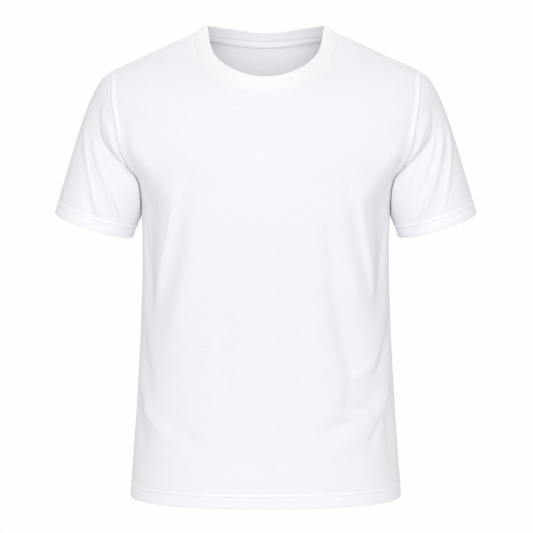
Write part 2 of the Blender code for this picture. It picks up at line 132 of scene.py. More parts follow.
bpy.ops.object.select_all(action="DESELECT")
bpy.ops.mesh.primitive_plane_add(size=FLOOR_SIZE, location=(0, 0, -FLOOR_DROP))
floor = bpy.context.object
floor.name = "floor"
bpy.ops.object.transform_apply(location=True, rotation=True, scale=True)
floor_paint, _, _ = start_material("matt_white_paint", {"Base Color": linear("f6f6f6"), "Roughness": 0.9})
floor.data.materials.append(floor_paint)


# Front panel. One piece of cotton jersey, cut with a bowed armhole and a deep front neck, sewn at the
# shoulders and sides and turned up 20 mm at the hem. Worn, it lies on the chest and hangs in long soft folds.
MM = 0.001
FRONT, BACK = -1, 1
JERSEY_WALL = 1.2 * MM
HEM_WALL = 2.2 * MM
HEM_WIDTH = 20 * MM
HEM_DROP = 0.712
SHOULDER_TIP_DROP = 0.065
UNDERARM_DROP = 0.236
OBLONG = 2.3  # exponent of every section of the body: 2 is an ellipse, more is squarer
CORNER_LIMIT = 0.6  # cosine of half the sharpest turn at a seam that the walls follow fully
NECK_HALF_WIDTH = 0.109
NECK_FRONT = 0.0865
NECK_BACK = 0.083
NECK_ROUND = 2.15
RIB_WIDTH = 23.5 * MM
RIB_RISE_FRONT, RIB_RISE_SIDE, RIB_RISE_BACK = 67, 34, 37  # degrees that the collar stands above horizontal
NECK_LOWEST = 0.15
HALVINGS = 40
SLOPE_STEP = 1 * MM
ARC_STEPS = 200

NECK_CELLS = 38  # grid cells from the centre line to the shoulder seam
NECK_CROWDING = 1.4
SHOULDER_CELLS = 40
ARMHOLE_CELLS = 72
ARMHOLE_CROWDING = 1.15
BODY_CELLS = 168
EDGE_SHARES = np.array([0.5, 0.25, 0.1])  # finer cells, as shares of the last cell at a seam
BOW_DECAY = 1.6
HEM_ROUND = MM * np.array(
    [0, 0.4, 1.2, 2.5, 5, 8, 11, 13.5, 15, 16, 16.8, 17.6, 18.6, 19.6, 20.4, 21.2, 22.2, 23.4, 25.5]
)
LOWER_ROW, UPPER_ROW = 10, 17  # of those rows, the ones that the hem's twin stitching follows
# the swelling over the turned-up edge and the two sunk rows of stitches: each one's place, width and height
HEM_BANDS = MM * np.array([[20.4, 2.0, 1.0], [16.8, 1.3, -0.3], [23.6, 1.5, -0.2]])
TURNED_UP_FADE = 1 * MM
TURNED_UP_WHITER = 0.3


def rows_of(kind, *rows):
    return [kind(*row) for row in rows]


Section = namedtuple("Section", "drop half_width front back")
BODY_SECTIONS = rows_of(
    Section,
    (-0.010, 0.080, 0.001, 0.057),
    (0.006, 0.109, 0.010, 0.077),
    (0.020, 0.141, 0.021, 0.087),
    (0.040, 0.184, 0.038, 0.096),
    (SHOULDER_TIP_DROP, 0.237, 0.062, 0.104),
    (0.085, 0.254, 0.080, 0.110),
    (0.103, 0.260, 0.092, 0.114),
    (0.137, 0.262, 0.108, 0.119),
    (0.170, 0.259, 0.118, 0.121),
    (0.190, 0.245, 0.123, 0.121),
    (0.210, 0.2225, 0.126, 0.120),
    (0.224, 0.206, 0.127, 0.119),
    (UNDERARM_DROP, 0.198, 0.127, 0.118),
    (0.256, 0.192, 0.127, 0.116),
    (0.290, 0.189, 0.126, 0.113),
    (0.360, 0.188, 0.123, 0.109),
    (0.450, 0.191, 0.121, 0.107),
    (0.560, 0.197, 0.122, 0.109),
    (HEM_DROP, 0.208, 0.127, 0.114),
)
Armhole = namedtuple("Armhole", "turn drop front back")  # turn 0 is the shoulder tip, 180 the underarm
ARMHOLE = rows_of(
    Armhole,
    (0, SHOULDER_TIP_DROP, 0.000, 0.000),
    (30, 0.072, 0.024, 0.028),
    (60, 0.095, 0.044, 0.051),
    (90, 0.131, 0.060, 0.068),
    (120, 0.172, 0.070, 0.076),
    (150, 0.211, 0.055, 0.058),
    (180, UNDERARM_DROP, 0.000, 0.000),
)
# How the sleeve's cloth leaves the armhole: onward is how far it carries on from the body's own surface,
# against straight down, and the pulls are how far it keeps its direction at the seam and at the cuff.
Leaving = namedtuple("Leaving", "turn onward seam_pull cuff_pull lean_in")
SLEEVE_LEAVING = rows_of(
    Leaving,
    (0, 1.00, 0.120, 0.370, 0.000),
    (45, 0.80, 0.100, 0.300, 0.000),
    (90, 0.62, 0.090, 0.200, 0.008),
    (135, 0.50, 0.050, 0.120, 0.018),
    (180, 0.40, 0.030, 0.110, 0.024),
)

# A fold runs from its start past its middle to its end, in millimetres along and drop. It is a trough, or a
# ridge where its depth is negative. Its flanks are as wide as given on the wearer's right and left of a fold
# that runs down, or below and above one that runs to the wearer's left, and narrow to a share of that at its
# end. A crisp fold has straight flanks.
Fold = namedtuple(
    "Fold", "start_along start_drop mid_along mid_drop end_along end_drop right left narrow depth crisp"
)
FRONT_FOLDS = rows_of(
    Fold,
    # the wearer's right side, from the underarm to the hem
    (-101, 236, -121, 372, -168, 520, 23, 40, 0.8, -7.2, 0.4),
    (-131, 200, -149, 316, -186, 430, 46, 14, 0.6, -9.5, 0.9),
    (-197, 222, -203, 330, -186, 468, 30, 46, 0.5, 7.4, 0.4),
    (-228, 236, -214, 335, -164, 448, 12, 8, 0.8, 1.8, 0.4),
    (-226, 152, -176, 214, -132, 268, 40, 16, 1, -5, 0.5),
    (-226, 430, -207, 500, -180, 566, 24, 20, 0.8, 5, 0.2),
    (-206, 548, -184, 586, -140, 606, 10, 11, 1, -3.6, 0.2),
    (-244, 536, -216, 592, -190, 656, 20, 18, 0.8, 4, 0.2),
    (-160, 588, -118, 608, -78, 636, 13, 13, 1, 2.6, 0),
    # the wearer's left side
    (91, 236, 112, 422, 150, 562, 17, 30, 1, 9, 0.2),
    (105, 226, 122, 340, 156, 448, 40, 28, 0.8, -10.4, 0.4),
    (133, 200, 152, 314, 180, 420, 14, 46, 0.6, -9.5, 0.9),
    (197, 222, 202, 330, 182, 456, 46, 30, 0.5, 7.4, 0.4),
    (230, 250, 203, 350, 160, 438, 8, 12, 0.8, 2.2, 0.4),
    (226, 152, 178, 214, 134, 268, 16, 40, 1, -4.6, 0.5),
    (232, 420, 196, 488, 166, 536, 10, 20, 0.8, 5, 0.6),
    (102, 560, 152, 568, 204, 558, 12, 40, 1, 8, 0.8),
    (132, 516, 158, 508, 190, 474, 10, 10, 1, -3, 0.2),
    (205, 522, 185, 563, 116, 570, 10, 10, 1, -3, 0.2),
    (164, 579, 118, 588, 60, 616, 12, 12, 1, 3.6, 0.2),
    (168, 592, 132, 612, 68, 640, 11, 12, 1, -2, 0),
    (190, 582, 176, 604, 156, 628, 9, 10, 1, 3, 0.3),
    (202, 560, 210, 620, 220, 694, 18, 18, 1, 3.6, 0.2),
    # shallow hanging folds down the middle
    (-58, 330, -62, 470, -56, 660, 16, 16, 1, 3, 0),
    (46, 340, 48, 470, 44, 660, 14, 16, 1, 2.8, 0),
    (-10, 400, -16, 520, -14, 670, 22, 22, 1, -1.4, 0),
    (-150, 630, -60, 646, 30, 640, 14, 14, 1, 1, 0),
    # drag lines at the shoulders
    (-150, 60, -120, 92, -70, 120, 18, 18, 1, 0.8, 0),
    (148, 62, 118, 94, 72, 122, 18, 18, 1, 0.8, 0),
)
FOLD_STEPS = 20
FOLD_RISE, FOLD_FALL = 0.25, 0.35  # shares of a fold's length over which it deepens and dies away
RIM_ROUNDING = 0.15  # of a flank's width, at the rim of a crisp fold
# the folds reach their full depth this far from a seam, and keep only a share of it at the hem
FOLDS_OFF_ARMHOLE, FOLDS_OFF_TOP, FOLDS_OFF_SIDE, FOLDS_OFF_HEM = 45 * MM, 14 * MM, 6 * MM, 55 * MM
FOLDS_AT_HEM = 0.25
# the chest sinks a little in a band beside the lower armhole seam
HOLLOW_DEPTH, HOLLOW_OFF_SEAM, HOLLOW_WIDTH = 1.8 * MM, 15 * MM, 8 * MM
HOLLOW_TOP, HOLLOW_TOP_FADE = 100 * MM, 70 * MM
HOLLOW_FOOT, HOLLOW_FOOT_FADE = UNDERARM_DROP + 20 * MM, 40 * MM
# a seam's turnings lie pressed under the cloth and raise it in a band beside the seam
ALLOWANCE_RISE, ALLOWANCE_FALL = 2.5 * MM, 3.5 * MM
ARMHOLE_ALLOWANCE, ARMHOLE_RAISED = 10 * MM, 1.3 * MM
ARMHOLE_RAISED_ABOVE, ARMHOLE_RAISED_FADE = UNDERARM_DROP - 30 * MM, 90 * MM
ARMHOLE_RAISED_AT_SHOULDER, ARMHOLE_SHOULDER_FADE = 0.3, 30 * MM
SHOULDER_ALLOWANCE, SHOULDER_RAISED = 7 * MM, 0.4 * MM
NECK_ALLOWANCE, NECK_ALLOWANCE_FADE, NECK_ALLOWANCE_WHITER = 5 * MM, 4 * MM, 0.55
ARMHOLE_DIP, SEAM_DIP, DIP_WIDTH = 1.0 * MM, 0.5 * MM, 1.6 * MM  # where the cloth rolls in at a seam
EDGE_FADE = 0.5 * MM  # how quickly the roundness of a folded edge dies away
LONGEST_STEP = 60 * MM  # a longer step of a line joins two seams and isn't a part of either
SHARPEST_SMOOTH = 50  # degrees, above which an edge is shaded sharp


def hermite(start, start_pull, end, end_pull, t):
    """Point t of the way along the cubic that leaves start along start_pull and meets end along end_pull."""
    return (
        (2 * t**3 - 3 * t**2 + 1) * start
        + (t**3 - 2 * t**2 + t) * start_pull
        + (3 * t**2 - 2 * t**3) * end
        + (t**3 - t**2) * end_pull
    )


def read(table, column, at, level_ends=False):
    """A column of a table, read between its rows on a smooth curve. The first column is the table's key."""
    knots = np.array([row[0] for row in table], float)
    values = np.array([getattr(row, column) for row in table], float)
    slopes = np.gradient(values, knots)
    if level_ends:
        slopes[[0, -1]] = 0
    at = np.clip(at, knots[0], knots[-1])
    row = np.clip(np.searchsorted(knots, at) - 1, 0, len(knots) - 2)
    span = knots[row + 1] - knots[row]
    t = (at - knots[row]) / span
    return hermite(values[row], slopes[row] * span, values[row + 1], slopes[row + 1] * span, t)


def unit(vectors):
    return vectors / np.maximum(np.linalg.norm(vectors, axis=-1, keepdims=True), 1e-12)


def half_width(drop):
    return read(BODY_SECTIONS, "half_width", drop)


def depth(drop, side):
    return read(BODY_SECTIONS, "front" if side == FRONT else "back", drop)


def oblong(bearing, drop, side):
    """The form's point at a bearing from the centre line, in radians: a right angle is the wearer's side."""
    power = 2 / OBLONG
    x = half_width(drop) * np.sign(bearing) * np.abs(np.sin(bearing)) ** power
    y = side * depth(drop, side) * np.maximum(np.cos(bearing), 0) ** power
    return np.stack([x, y, -drop + 0 * bearing], axis=-1)


def bearing_of(x, y, drop, side):
    across = (np.abs(x) / half_width(drop)) ** (OBLONG / 2)
    return np.sign(x) * np.arctan2(across, (np.abs(y) / depth(drop, side)) ** (OBLONG / 2))


def arc_lengths(drop, side):
    """Bearings from the centre line to the side, and how far round the section each one lies, by drop."""
    bearings = np.linspace(0, np.pi / 2, ARC_STEPS)
    levels, level_of = np.unique(np.ravel(drop), return_inverse=True)
    points = oblong(bearings[None, :], levels[:, None], side)
    steps = np.linalg.norm(np.diff(points, axis=1), axis=-1)
    return bearings, np.hstack([np.zeros((len(steps), 1)), np.cumsum(steps, axis=1)]), level_of


def along_at(bearing, drop, side):
    bearings, lengths, level_of = arc_lengths(drop, side)
    found = [np.interp(abs(b), bearings, lengths[k]) for b, k in zip(np.ravel(bearing), level_of)]
    return np.sign(bearing) * np.reshape(found, np.shape(bearing))


def side_seam(drop, side):
    return along_at(np.full(np.shape(drop), np.pi / 2), drop, side)


def on_form(along, drop, side):
    bearings, lengths, level_of = arc_lengths(drop, side)
    found = [np.interp(abs(a), lengths[k], bearings) for a, k in zip(np.ravel(along), level_of)]
    return oblong(np.sign(along) * np.reshape(found, np.shape(along)), drop, side)


def form_normals(points, side):
    """Outward normals of the form, from the slope of its equation, (x/width)^n + (y/depth)^n = 1."""
    drop = -points[..., 2]
    x = np.abs(points[..., 0]) / half_width(drop)
    y = np.abs(points[..., 1]) / depth(drop, side)
    below, above = drop + SLOPE_STEP, drop - SLOPE_STEP
    wider = np.log(half_width(below) / half_width(above)) / (2 * SLOPE_STEP)
    deeper = np.log(depth(below, side) / depth(above, side)) / (2 * SLOPE_STEP)
    return unit(
        np.stack(
            [
                np.sign(points[..., 0]) * x ** (OBLONG - 1) / half_width(drop),
                side * y ** (OBLONG - 1) / depth(drop, side),
                x**OBLONG * wider + y**OBLONG * deeper,
            ],
            axis=-1,
        )
    )


def neck_point(turn, side):
    """A point of the neck seam: turn 0 is on the centre line and a right angle at the shoulder seam."""
    power = 2 / NECK_ROUND
    x = NECK_HALF_WIDTH * np.sign(turn) * np.abs(np.sin(turn)) ** power
    y = (NECK_FRONT if side == FRONT else NECK_BACK) * np.maximum(np.cos(turn), 0) ** power
    low, high = np.full(np.shape(x), BODY_SECTIONS[0].drop), np.full(np.shape(x), NECK_LOWEST)
    for _ in range(HALVINGS):
        middle = (low + high) / 2
        inside = (np.abs(x) / half_width(middle)) ** OBLONG + (y / depth(middle, side)) ** OBLONG < 1
        low, high = np.where(inside, low, middle), np.where(inside, middle, high)
    return np.stack([x, side * y, -low], axis=-1)


def armhole_point(turn, side):
    """A point of the wearer's left armhole seam, by the turn from the shoulder tip to the underarm."""
    drop = read(ARMHOLE, "drop", turn, level_ends=True)
    y = side * np.maximum(read(ARMHOLE, "front" if side == FRONT else "back", turn), 0)
    x = half_width(drop) * (1 - (np.abs(y) / depth(drop, side)) ** OBLONG) ** (1 / OBLONG)
    return np.stack([x, y, -drop], axis=-1)


def armhole_turns():
    """Turns of the grid's rows along the armhole, from the underarm up to the shoulder tip."""
    turns = 180 * (1 - np.arange(ARMHOLE_CELLS + 1) / ARMHOLE_CELLS) ** ARMHOLE_CROWDING
    return np.r_[turns[:-1], turns[-2] * EDGE_SHARES, 0]


def column_shares():
    """Places of the grid's columns from the centre line to the side, with finer cells at the seam."""
    cells = NECK_CELLS + SHOULDER_CELLS
    shares = np.linspace(0, 1, cells + 1)
    return np.r_[shares[:-1], 1 - EDGE_SHARES / cells, 1]


def flat_place(points, side):
    """Along and drop of points that lie on the form."""
    x, y, drop = points[..., 0], points[..., 1], -points[..., 2]
    return np.stack([along_at(bearing_of(x, y, drop, side), drop, side), drop], axis=-1)


def fade(distance, reach):
    """0 at a seam, rising softly to 1 at its reach from it."""
    share = np.clip(distance / reach, 0, 1)
    return share * share * (3 - 2 * share)


def flank_shape(share, crisp):
    """How deep a fold's flank lies, as a share of its depth, by how far up its width the place is."""
    rest = 1 - share
    straight = (rest + np.sqrt(rest**2 + RIM_ROUNDING**2)) / 2
    return (1 - crisp) * np.exp(-(share**2)) + crisp * straight


def fold_depth(fold, places):
    """How deep a fold presses in at places given as pairs of the fold's own two coordinates, in metres."""
    start, middle, end = (np.array(fold[i : i + 2]) * MM for i in (0, 2, 4))
    steps = np.linspace(0, 1, FOLD_STEPS + 1)[:, None]
    pull = 2 * middle - (start + end) / 2
    line = (1 - steps) ** 2 * start + 2 * steps * (1 - steps) * pull + steps**2 * end
    nearest = np.full(places.shape[:-1], np.inf)
    way, flank = np.zeros_like(nearest), np.zeros_like(nearest)
    for k in range(FOLD_STEPS):
        run = line[k + 1] - line[k]
        t = np.clip((places - line[k]) @ run / (run @ run), 0, 1)
        off = places - line[k] - t[..., None] * run
        distance = np.linalg.norm(off, axis=-1)
        closer = distance < nearest
        nearest = np.where(closer, distance, nearest)
        way = np.where(closer, (k + t) / FOLD_STEPS, way)
        flank = np.where(closer, off[..., 0] * run[1] - off[..., 1] * run[0], flank)
    widths = np.where(flank > 0, fold.left, fold.right) * MM * (1 + (fold.narrow - 1) * way)
    share = nearest / widths
    taper = fade(way, FOLD_RISE) * fade(1 - way, FOLD_FALL)
    return fold.depth * MM * taper * flank_shape(share, fold.crisp)


class Seam:
    """A closed seam line, where one piece carries on from a panel in a direction of its own."""

    def __init__(self, front, back, inside=None):
        """Join the line's two parts, which go round a point inside, its own middle where none is given."""
        points = self.points = np.vstack([front, back])
        self.normals = np.vstack([form_normals(front, FRONT), form_normals(back, BACK)])
        self.ahead = unit(np.roll(points, -1, axis=0) - np.roll(points, 1, axis=0))
        onward = unit(np.cross(self.ahead, self.normals))
        inside = points.mean(axis=0) if inside is None else inside
        self.turned = np.sign(np.sum(onward * (inside - points)))
        self.onward = onward * self.turned

    def leave(self, directions):
        """Set the directions in which the second piece leaves, and share the corner between the walls."""
        self.directions = unit(directions - self.ahead * np.sum(directions * self.ahead, -1, keepdims=True))
        piece_normals = unit(np.cross(self.directions, self.ahead)) * self.turned
        through = unit(self.normals + piece_normals)
        half_turn = np.sum(self.normals * through, axis=-1, keepdims=True)
        # what one metre of wall adds inward from the seam's outer points
        self.wall = -through * (1 / np.maximum(half_turn, CORNER_LIMIT))


def neck_seam(cells):
    """The neck seam, from the wearer's left shoulder round the front."""
    shares = np.linspace(1, -1, 2 * cells + 1)
    half = np.sign(shares) * (1 - (1 - np.abs(shares)) ** NECK_CROWDING) * np.pi / 2
    above_neck = np.array([0, 0, RIB_WIDTH])
    seam = Seam(neck_point(half, FRONT), neck_point(-half[1:-1], BACK), above_neck)
    inward = unit(np.cross(seam.ahead * [1, 1, 0], [0, 0, 1]))
    inward *= -np.sign(np.sum(inward * seam.points, axis=-1, keepdims=True))
    facing = inward[:, 1:2]
    rise_ends = np.where(facing > 0, RIB_RISE_FRONT, RIB_RISE_BACK)
    rise = np.radians(RIB_RISE_SIDE + (rise_ends - RIB_RISE_SIDE) * facing**2)
    seam.leave(inward * np.cos(rise) + np.array([0, 0, 1]) * np.sin(rise))
    return seam


def armhole_seam():
    """The wearer's left armhole seam, from the shoulder tip down the front and up the back."""
    turns = armhole_turns()[::-1]
    seam = Seam(armhole_point(turns, FRONT), armhole_point(turns[-2:0:-1], BACK))
    onward = read(SLEEVE_LEAVING, "onward", np.r_[turns, turns[-2:0:-1]])[:, None]
    seam.leave(onward * seam.onward + (1 - onward) * np.array([0, 0, -1]))
    return seam


def mirrored(points):
    return points * [-1, 1, 1]


def between_edges(bottom, top, left, right, across, heights):
    """A patch of places that meets four edges. The bows of its sides die away towards the centre line."""
    v = heights[:, None, None]
    u = across[None, :, None]
    straight = (1 - v) * bottom + v * top
    left_bow = left[:, None] - straight[:, :1]
    right_bow = right[:, None] - straight[:, -1:]
    return straight + left_bow * np.maximum(-u, 0) ** BOW_DECAY + right_bow * np.maximum(u, 0) ** BOW_DECAY


def grid_normals(grid, round_about):
    """Outward normals of a grid of points, where its rows run across and its first row is the lowest."""
    if round_about:
        across = np.roll(grid, -1, axis=1) - np.roll(grid, 1, axis=1)
    else:
        across = np.gradient(grid, axis=1)
    return unit(np.cross(across, np.gradient(grid, axis=0)))


def band(distance, middle, width):
    """1 along a band's middle line, and softly less on both sides of it."""
    return np.exp(-(((distance - middle) / width) ** 2))


def seam_roll(distance, dip):
    """How far the cloth dips at a seam, where it is turned in."""
    return dip * band(distance, 0, DIP_WIDTH)


def pressed_allowance(distance, width, height):
    """The raised band beside a seam, where the seam's turnings lie pressed under the cloth."""
    return height * fade(distance, ALLOWANCE_RISE) * fade(width - distance, ALLOWANCE_FALL)


def hem_swelling(distance):
    """1 along the middle of the twin stitching, where the turned edge lies inside and the cloth swells up."""
    return band(distance, *HEM_BANDS[0, :2])


def twin_stitch_relief(distance):
    """The top of the hem, by the distance from the folded edge: two sunk rows and the swelling between."""
    return sum(height * band(distance, place, width) for place, width, height in HEM_BANDS)


def hem_layers_and_highlight(distance):
    """How much whiter the turned-up cloth looks, most where it is sewn, and there partly a painted highlight.
    """
    turned_up = fade(HEM_WIDTH + TURNED_UP_FADE / 2 - distance, TURNED_UP_FADE)
    return np.maximum(TURNED_UP_WHITER * turned_up, hem_swelling(distance))


def hem_walls(cloth, cloth_normals, wall, from_edge, hem_width, relief):
    """Outer and inner points of the cloth: thicker where it is turned up, and round at the folded edge."""
    thickness = JERSEY_WALL + (HEM_WALL - JERSEY_WALL) * (from_edge < hem_width)
    inner = cloth + wall * thickness[..., None]
    rounding = 0.5 * thickness * np.exp(-from_edge / EDGE_FADE)
    outer = cloth + cloth_normals * (relief - rounding)[..., None]
    inner -= wall * rounding[..., None]
    return outer, inner


def panel(side, neck, armhole, folds):
    """Outer and inner points of a panel, in rows from the hem up, with their flat places and layers."""
    half_shares = column_shares()
    shares = np.r_[-half_shares[:0:-1], half_shares]
    middle = len(half_shares) - 1
    side_columns = middle - NECK_CELLS
    body_length = HEM_DROP - HEM_ROUND[-1] - UNDERARM_DROP
    body_drops = UNDERARM_DROP + body_length * np.linspace(0, 1, BODY_CELLS + 1)
    lower_drops = np.r_[HEM_DROP - HEM_ROUND, body_drops[-2:0:-1]]
    widths = side_seam(lower_drops, side)
    lower = np.stack([widths[:, None] * shares, lower_drops[:, None] + 0 * shares], axis=-1)

    across_neck = np.arange(2 * NECK_CELLS + 1)
    ring = (2 * NECK_CELLS + (across_neck if side == BACK else -across_neck)) % (4 * NECK_CELLS)
    neck_columns = slice(side_columns, side_columns + 2 * NECK_CELLS + 1)
    shoulder_columns = slice(0, side_columns + 1), slice(-side_columns - 1, None)
    turns = armhole_turns()
    rows = np.arange(len(turns))
    hole = (len(turns) - 1 + (rows if side == BACK else -rows)) % (2 * len(turns) - 2)

    top = np.zeros((len(shares), 2))
    neck_share = NECK_CELLS / (NECK_CELLS + SHOULDER_CELLS)
    shoulder_share = (half_shares[NECK_CELLS:] - neck_share) / (1 - neck_share)
    shoulder_drops = -neck.points[0, 2] + shoulder_share * (SHOULDER_TIP_DROP + neck.points[0, 2])
    shoulder = np.stack([side_seam(shoulder_drops, side), shoulder_drops], axis=-1)
    top[neck_columns] = flat_place(neck.points[ring], side)
    top[shoulder_columns[0]] = shoulder[::-1] * [-1, 1]
    top[shoulder_columns[1]] = shoulder
    bottom = np.stack([shares * side_seam(np.array([UNDERARM_DROP]), side), 0 * shares + UNDERARM_DROP], -1)
    edge = flat_place(armhole.points[hole], side)
    upper = between_edges(bottom, top, edge * [-1, 1], edge, shares, 1 - turns / 180)

    places = np.vstack([lower, upper])
    along, drop = places[..., 0], places[..., 1]
    form = on_form(along, drop, side)
    normals = form_normals(form, side)
    to_side = np.where(drop >= UNDERARM_DROP, side_seam(drop, side) - np.abs(along), np.inf)
    to_armhole = distance_to_line(form, np.vstack([armhole.points[hole], mirrored(armhole.points[hole])]))
    to_neck = distance_to_line(form, neck.points[ring])
    to_shoulder = distance_to_line(form, np.vstack([form[-1, columns] for columns in shoulder_columns]))
    to_top = np.minimum(to_neck, to_shoulder)
    clear = fade(to_armhole, FOLDS_OFF_ARMHOLE) * fade(to_top, FOLDS_OFF_TOP) * fade(to_side, FOLDS_OFF_SIDE)
    clear *= FOLDS_AT_HEM + (1 - FOLDS_AT_HEM) * fade(HEM_DROP - drop, FOLDS_OFF_HEM)
    sunk = np.zeros_like(along)
    for fold in folds:
        sunk += fold_depth(fold, places) * clear
    hollow = band(to_armhole, HOLLOW_OFF_SEAM, HOLLOW_WIDTH) * fade(drop - HOLLOW_TOP, HOLLOW_TOP_FADE)
    sunk += HOLLOW_DEPTH * hollow * fade(HOLLOW_FOOT - drop, HOLLOW_FOOT_FADE)
    cloth = form - normals * sunk[..., None]

    cloth_normals = grid_normals(cloth, False) * -side
    wall = -cloth_normals
    lower_rows, upper_rows = slice(0, len(lower)), slice(len(lower), None)
    cloth[-1, neck_columns], wall[-1, neck_columns] = neck.points[ring], neck.wall[ring]
    cloth[upper_rows, -1], wall[upper_rows, -1] = armhole.points[hole], armhole.wall[hole]
    cloth[upper_rows, 0], wall[upper_rows, 0] = mirrored(armhole.points[hole]), mirrored(armhole.wall[hole])
    wall[lower_rows, [0, -1]] = -normals[lower_rows, [0, -1]]
    for columns in shoulder_columns:
        wall[-1, columns] = -normals[-1, columns]

    from_edge = HEM_DROP - drop
    above_underarm = fade(ARMHOLE_RAISED_ABOVE - drop, ARMHOLE_RAISED_FADE)
    at_armhole = pressed_allowance(to_armhole, ARMHOLE_ALLOWANCE, above_underarm)
    at_neck = NECK_ALLOWANCE_WHITER * fade(NECK_ALLOWANCE - to_neck, NECK_ALLOWANCE_FADE)
    at_shoulder = pressed_allowance(to_shoulder, SHOULDER_ALLOWANCE, side == BACK)
    off_shoulder = (1 - ARMHOLE_RAISED_AT_SHOULDER) * fade(to_shoulder, ARMHOLE_SHOULDER_FADE)
    raised = ARMHOLE_RAISED * at_armhole * (ARMHOLE_RAISED_AT_SHOULDER + off_shoulder)
    relief = raised + SHOULDER_RAISED * at_shoulder + twin_stitch_relief(from_edge)
    relief -= seam_roll(to_armhole, ARMHOLE_DIP) + seam_roll(np.minimum(to_shoulder, to_side), SEAM_DIP)
    # how much whiter the cloth looks: over seam turnings and the hem, and at the hem's swelling partly a
    # painted highlight
    layers = np.maximum.reduce([at_armhole, at_neck, at_shoulder, hem_layers_and_highlight(from_edge)])
    outer, inner = hem_walls(cloth, cloth_normals, wall, from_edge, HEM_WIDTH, relief)
    return outer, inner, places, layers


def way_along(line):
    """How far along a line each of its points lies."""
    return np.r_[0, np.cumsum(np.linalg.norm(np.diff(line, axis=0), axis=-1))]


def stops_on(line, way, stops):
    """Points of a line, read at stops on the way along it."""
    return np.stack([np.interp(stops, way, part) for part in line.T], axis=-1)


def distance_to_line(points, line):
    """How far each point lies from the nearest of a line's points, taken along the line's own short steps."""
    nearest = np.full(points.shape[:-1], np.inf)
    for k in range(len(line) - 1):
        run = line[k + 1] - line[k]
        if run @ run > LONGEST_STEP**2 or run @ run == 0:
            continue
        t = np.clip((points - line[k]) @ run / (run @ run), 0, 1)
        nearest = np.minimum(nearest, np.linalg.norm(points - line[k] - t[..., None] * run, axis=-1))
    return nearest


def cloth_piece(name, material, outer, inner, places, layers, round_about=False):
    """A closed wall between two grids of points. Its UV map is the place on the flat cloth, in metres, and
    the attribute turned_cloth_and_highlight is 1 where the cloth is turned in and lies in two layers or more.
    It also carries painted highlights, at the hem's swelling and along the collar's folded edge."""
    rows, columns = outer.shape[:2]
    last = columns if round_about else columns - 1
    index = np.arange(rows * columns).reshape(rows, columns)
    i, j = [part.ravel() for part in np.meshgrid(np.arange(rows - 1), np.arange(last), indexing="ij")]
    k = (j + 1) % columns
    face = np.stack([index[i, j], index[i, k], index[i + 1, k], index[i + 1, j]], axis=-1)
    lining = face[:, ::-1] + rows * columns
    ahead = (np.arange(last) + 1) % columns
    edges = [(index[0, :last], index[0, ahead], 1), (index[-1, :last], index[-1, ahead], -1)]
    if not round_about:
        edges += [(index[:-1, 0], index[1:, 0], -1), (index[:-1, -1], index[1:, -1], 1)]
    rims = [
        np.stack([a, a + rows * columns, b + rows * columns, b], axis=-1)[:, ::turned]
        for a, b, turned in edges
    ]
    faces = np.vstack([face, lining, *rims])
    mesh = bpy.data.meshes.new(name)
    mesh.from_pydata(np.vstack([outer.reshape(-1, 3), inner.reshape(-1, 3)]), [], faces.tolist())
    flat = np.tile(places.reshape(-1, 2), (2, 1))
    uv = mesh.uv_layers.new(name="flat_cloth")
    corners = np.empty(len(mesh.loops), int)
    mesh.loops.foreach_get("vertex_index", corners)
    uv.data.foreach_set("uv", flat[corners].ravel())
    turned_cloth_and_highlight = mesh.attributes.new("turned_cloth_and_highlight", "FLOAT", "POINT")
    turned_cloth_and_highlight.data.foreach_set("value", np.tile(np.broadcast_to(layers, (rows, columns)).ravel(), 2))
    made = bpy.data.objects.new(name, mesh)
    bpy.context.collection.objects.link(made)
    bpy.ops.object.select_all(action="DESELECT")
    bpy.context.view_layer.objects.active = made
    made.select_set(True)
    bpy.ops.object.mode_set(mode="EDIT")
    bpy.ops.mesh.select_all(action="SELECT")
    bpy.ops.mesh.normals_make_consistent(inside=False)
    bpy.ops.object.mode_set(mode="OBJECT")
    bpy.ops.object.shade_smooth_by_angle(angle=np.radians(SHARPEST_SMOOTH))
    mesh.materials.append(material)
    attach(made, "root")
    return made


